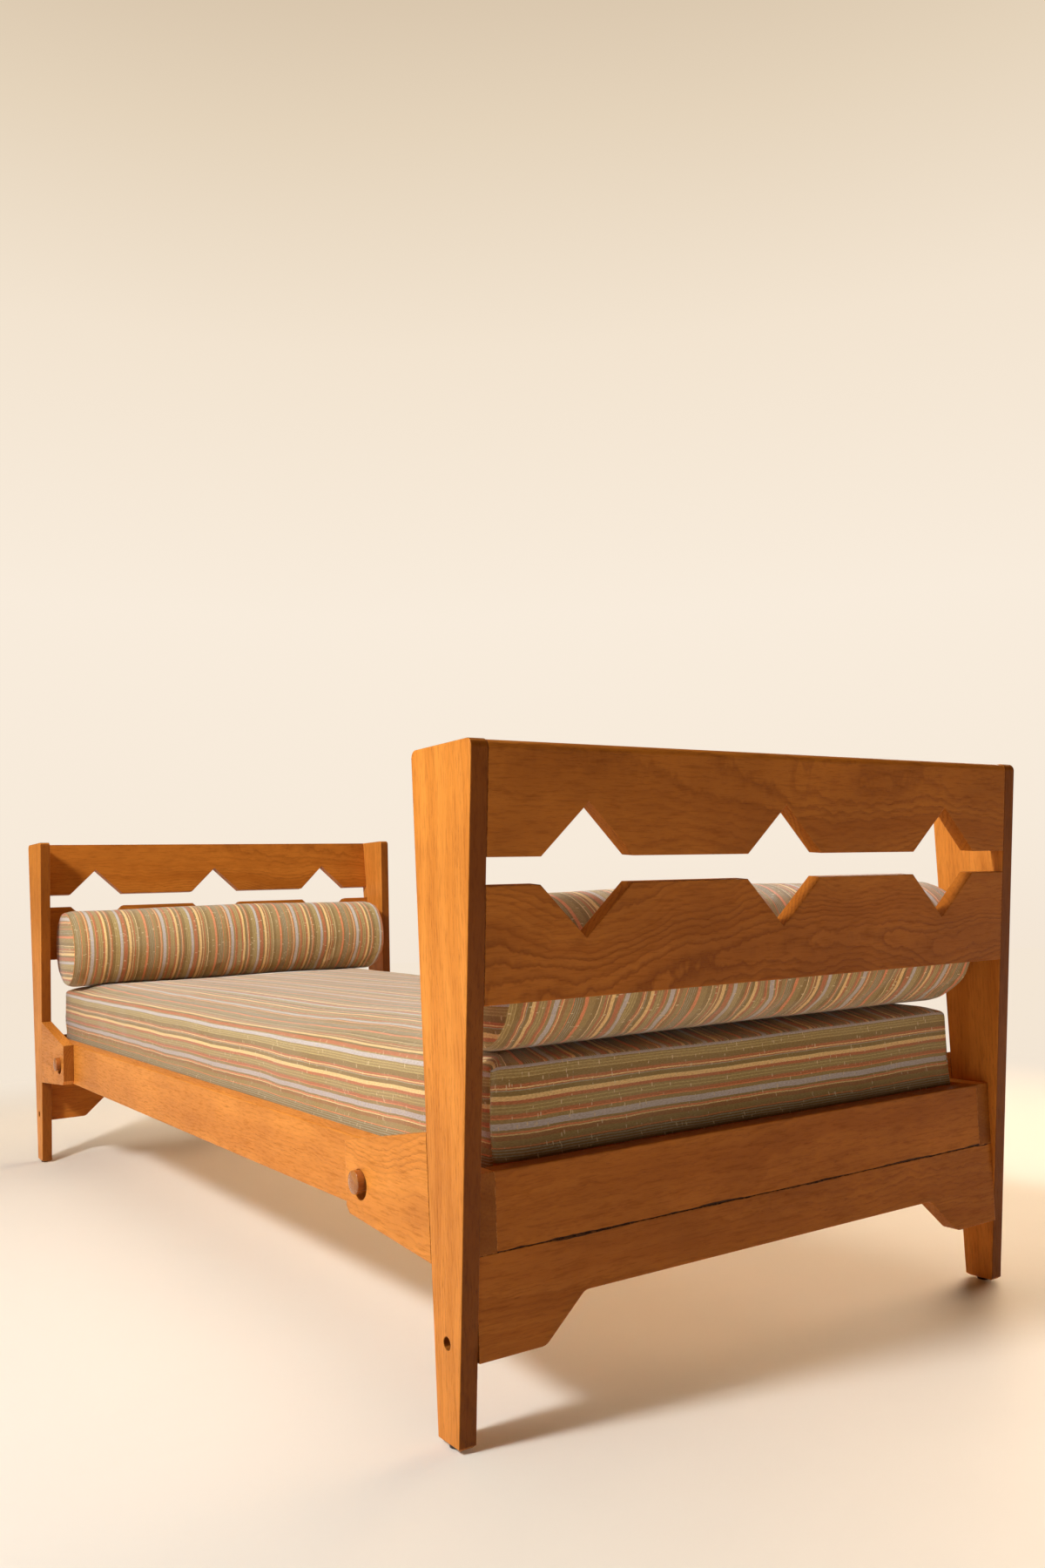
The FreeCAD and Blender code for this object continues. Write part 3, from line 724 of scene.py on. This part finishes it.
def shape_bolster(point, centre, radius, half, salt):
    """Move one point of the filled form: slow swells, puckers at the ends, and seams."""
    out = point - centre
    distance = math.hypot(out.x, out.z)
    if distance < 1e-6:
        return point
    angle = math.atan2(out.z, out.x)
    edge = half - abs(out.y)
    on_tube = smooth_step((distance / radius - 0.80) / 0.12)
    slow = noise.noise(Vector((math.cos(angle) * 1.3, out.y * 5.0, math.sin(angle) * 1.3 + salt)))
    pucker = noise.noise(Vector((angle * 5.5, out.y * 14.0, salt)))
    gather = math.exp(-max(edge, 0.0) / 0.030)
    push = on_tube * (0.0026 * slow + 0.0022 * pucker * gather)
    push -= on_tube * seam(abs(edge - SEAM_INSET))
    point.x += out.x / distance * push
    point.z += out.z / distance * push
    return point


def bolster(side, stripe_at, salt):
    """A round bolster with sewn ends. stripe_at turns a distance from its front end into V,
    and salt makes its swells its own.
    """
    node = side + "_bolster"
    low, high = (Vector(corner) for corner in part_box(node))
    centre = (low + high) / 2
    radius = (high.z - low.z) / 2 - BOLSTER_INSET
    half = (high.y - low.y) / 2 - BOLSTER_INSET
    obj = bolster_form(side + "_bolster_cover", centre, radius, half, stripe_at)
    puff(obj, low.z + 0.012, BOLSTER_PUFF, shrink=-0.01)
    rest_height = low.z + 0.0004
    for vertex in obj.data.vertices:
        vertex.co = shape_bolster(vertex.co.copy(), centre, radius, half, salt)
        # It is flat where it lies.
        vertex.co.z = max(vertex.co.z, rest_height)
    refine(obj)
    obj.data.materials.append(cloth)
    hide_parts(node)
    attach(obj, node)


# ---------------------------------------------------------------- studio

FLOOR = (0.775, 0.730, 0.665)
FLOOR_HALF_SIZE = 14.0
FLOOR_GLOW = (0.905, 0.790, 0.655, 1.0)
FADE_FROM, FADE_TO = 1.35, 2.4      # from the middle of the bed, where the floor fades into the glow
WALL_RADIUS = 9.0
WALL_HEIGHT = 12.0
WALL_SEGMENTS = 96
TINTED_HEIGHT = 9.0
# The wall's glow from the floor up, by its share of the tinted height: painted light, brightest about a third
# of the way up and darker towards the top.
WALL_GLOW_RAMP = [(0.0, (0.905, 0.790, 0.665)), (0.12, (0.930, 0.825, 0.700)), (0.35, (0.945, 0.840, 0.715)),
              (0.62, (0.895, 0.775, 0.630)), (0.85, (0.785, 0.655, 0.495)), (1.0, (0.700, 0.570, 0.420))]


def studio_floor():
    """A pale floor that fades, far off, into a glow of about the wall's brightness."""
    mesh = bpy.data.meshes.new("studio_floor")
    corners = [(x * FLOOR_HALF_SIZE, y * FLOOR_HALF_SIZE, 0.0)
               for x, y in ((-1, -1), (1, -1), (1, 1), (-1, 1))]
    mesh.from_pydata(corners, [], [[0, 1, 2, 3]])
    g = Graph("studio_floor_paint")
    place = g.node("ShaderNodeTexCoord").outputs["Object"]
    scuffs = g.smooth(g.noise(place, 2.2, 5.0, 0.65, 0.6), 0.40, 0.80)
    tint = g.mix(g.math("MULTIPLY", scuffs, 0.25), FLOOR, tuple(value * 0.93 for value in FLOOR))
    distance = g.node("ShaderNodeVectorMath", operation="LENGTH")
    g.feed(distance.inputs[0], place)
    far = g.smooth(distance.outputs["Value"], FADE_FROM, FADE_TO)
    g.shade(tint, 0.85)
    near_shader = g.output.inputs["Surface"].links[0].from_socket
    glow = g.node("ShaderNodeEmission")
    glow.inputs["Color"].default_value = FLOOR_GLOW
    blend = g.node("ShaderNodeMixShader")
    for socket, value in zip(blend.inputs, (far, near_shader, glow.outputs[0])):
        g.feed(socket, value)
    g.feed(g.output.inputs["Surface"], blend.outputs[0])
    mesh.materials.append(g.material)
    return bpy.data.objects.new("studio_floor", mesh)


def studio_wall():
    """A round wall that only the camera sees, so it lights nothing."""
    points = []
    for height in (0.0, WALL_HEIGHT):
        for index in range(WALL_SEGMENTS):
            angle = 2 * math.pi * index / WALL_SEGMENTS
            points.append((WALL_RADIUS * math.cos(angle), WALL_RADIUS * math.sin(angle), height))
    faces = []
    for index in range(WALL_SEGMENTS):
        after = (index + 1) % WALL_SEGMENTS
        faces.append([index, after, WALL_SEGMENTS + after, WALL_SEGMENTS + index])
    mesh = bpy.data.meshes.new("studio_wall")
    mesh.from_pydata(points, [], faces)
    g = Graph("studio_wall_paint")
    place = g.node("ShaderNodeTexCoord").outputs["Object"]
    share = g.math("DIVIDE", g.dot(place, Z_AXIS), TINTED_HEIGHT)
    cloud = g.math("MULTIPLY", g.math("SUBTRACT", g.noise(place, 0.12, 1.0), 0.5), 0.10)
    # The wall's glow is painted light on the backdrop, with painted shade towards the top.
    glow = g.node("ShaderNodeEmission")
    g.feed(glow.inputs["Color"], g.ramp(g.math("ADD", share, cloud), WALL_GLOW_RAMP))
    g.feed(g.output.inputs["Surface"], glow.outputs[0])
    mesh.materials.append(g.material)
    wall = bpy.data.objects.new("studio_wall", mesh)
    wall.visible_diffuse = False
    wall.visible_glossy = False
    wall.visible_shadow = False
    return wall


def studio():
    for piece in (studio_floor(), studio_wall()):
        scene.collection.objects.link(piece)


def area_light(name, place, target, size, power, colour, falloff=None, lights_only=None, glossy=True):
    """A soft box, width by height. Its falloff is Linear or Constant for a lamp that acts as if
    it stood further off. lights_only is a collection that it is kept to, and without glossy it
    shows in no reflection.
    """
    data = bpy.data.lights.new(name, "AREA")
    data.shape = "ELLIPSE"
    data.size, data.size_y = size
    data.energy = power
    data.color = colour
    if falloff:
        data.use_nodes = True
        tree = data.node_tree
        curve = tree.nodes.new("ShaderNodeLightFalloff")
        curve.inputs["Strength"].default_value = 1.0
        tree.links.new(curve.outputs[falloff], tree.nodes["Emission"].inputs["Strength"])
    lamp = bpy.data.objects.new(name, data)
    lamp.location = place
    lamp.rotation_euler = (Vector(target) - Vector(place)).to_track_quat("-Z", "Y").to_euler()
    lamp.visible_camera = False
    lamp.visible_glossy = glossy
    if lights_only:
        lamp.light_linking.receiver_collection = lights_only
    scene.collection.objects.link(lamp)


def lights():
    stage_only = bpy.data.collections.new("stage_only")
    stage_only.objects.link(scene.objects["studio_floor"])
    area_light("key", (0.80, -2.20, 2.00), (0.0, 0.0, 0.3), (0.42, 0.42), 24.0, (0.97, 0.99, 1.0),
               falloff="Linear")
    area_light("ceiling", (-0.2, 0.3, 3.8), (-0.2, 0.3, 0.0), (3.6, 4.0), 66.0, (1.0, 0.85, 0.68),
               glossy=False)
    area_light("front_fill", (-0.4, -3.6, 2.2), (-0.1, 0.0, 0.3), (2.0, 2.2), 33.0, (1.0, 0.92, 0.78))
    area_light("under_bed", (-0.35, 3.9, 0.8), (0.3, 0.0, 0.1), (3.4, 1.5), 22.0, (1.0, 0.72, 0.46),
               falloff="Constant", lights_only=stage_only)
    area_light("back_fill", (-1.2, 4.0, 2.0), (0.0, 0.0, 0.2), (2.4, 1.6), 46.0, (1.0, 0.88, 0.72))
    world = bpy.data.worlds.new("studio_air")
    world.use_nodes = True
    background = world.node_tree.nodes["Background"]
    background.inputs["Color"].default_value = (1.0, 0.60, 0.32, 1.0)
    background.inputs["Strength"].default_value = 0.02
    scene.world = world


CAMERA_PLACE = (2.0451, -1.0746, 0.5587)
CAMERA_HEADING, CAMERA_TILT, CAMERA_ROLL = 146.35, 3.27, -1.98     # degrees
CAMERA_LENS = 28.28                                                # millimetres
CAMERA_SHIFT = 0.0273


def camera():
    """Off the right front corner, above the mattress and tilted up by 3 degrees."""
    heading, tilt, roll = (math.radians(value) for value in (CAMERA_HEADING, CAMERA_TILT, CAMERA_ROLL))
    level = Vector((math.cos(heading), math.sin(heading), 0.0))
    ahead = level * math.cos(tilt) + Vector(Z_AXIS) * math.sin(tilt)
    right = ahead.cross(Vector(Z_AXIS)).normalized()
    up = right.cross(ahead)
    rolled_right = right * math.cos(roll) + up * math.sin(roll)
    rolled_up = up * math.cos(roll) - right * math.sin(roll)
    data = bpy.data.cameras.new("camera")
    data.lens = CAMERA_LENS
    data.sensor_width = 36.0
    data.shift_y = CAMERA_SHIFT
    eye = bpy.data.objects.new("camera", data)
    turn = Matrix((rolled_right, rolled_up, -ahead)).transposed().to_4x4()
    eye.matrix_world = Matrix.Translation(CAMERA_PLACE) @ turn
    scene.collection.objects.link(eye)
    scene.camera = eye


# ---------------------------------------------------------------- build

camera()
studio()
lights()
paint_wood()
paint("slat_screws", metal("screw_steel", (0.55, 0.52, 0.47), 0.35))
dull_steel = metal("glide_steel", (0.12, 0.10, 0.085), 0.5)
for name in nodes:
    if name.endswith("_glide"):
        paint(name, dull_steel)
cloth = striped_cloth()
mattress()
bolster("left", lambda distance: LEFT_BOLSTER_V - distance, salt=3.0)
bolster("right", lambda distance: RIGHT_BOLSTER_V + distance, salt=8.0)
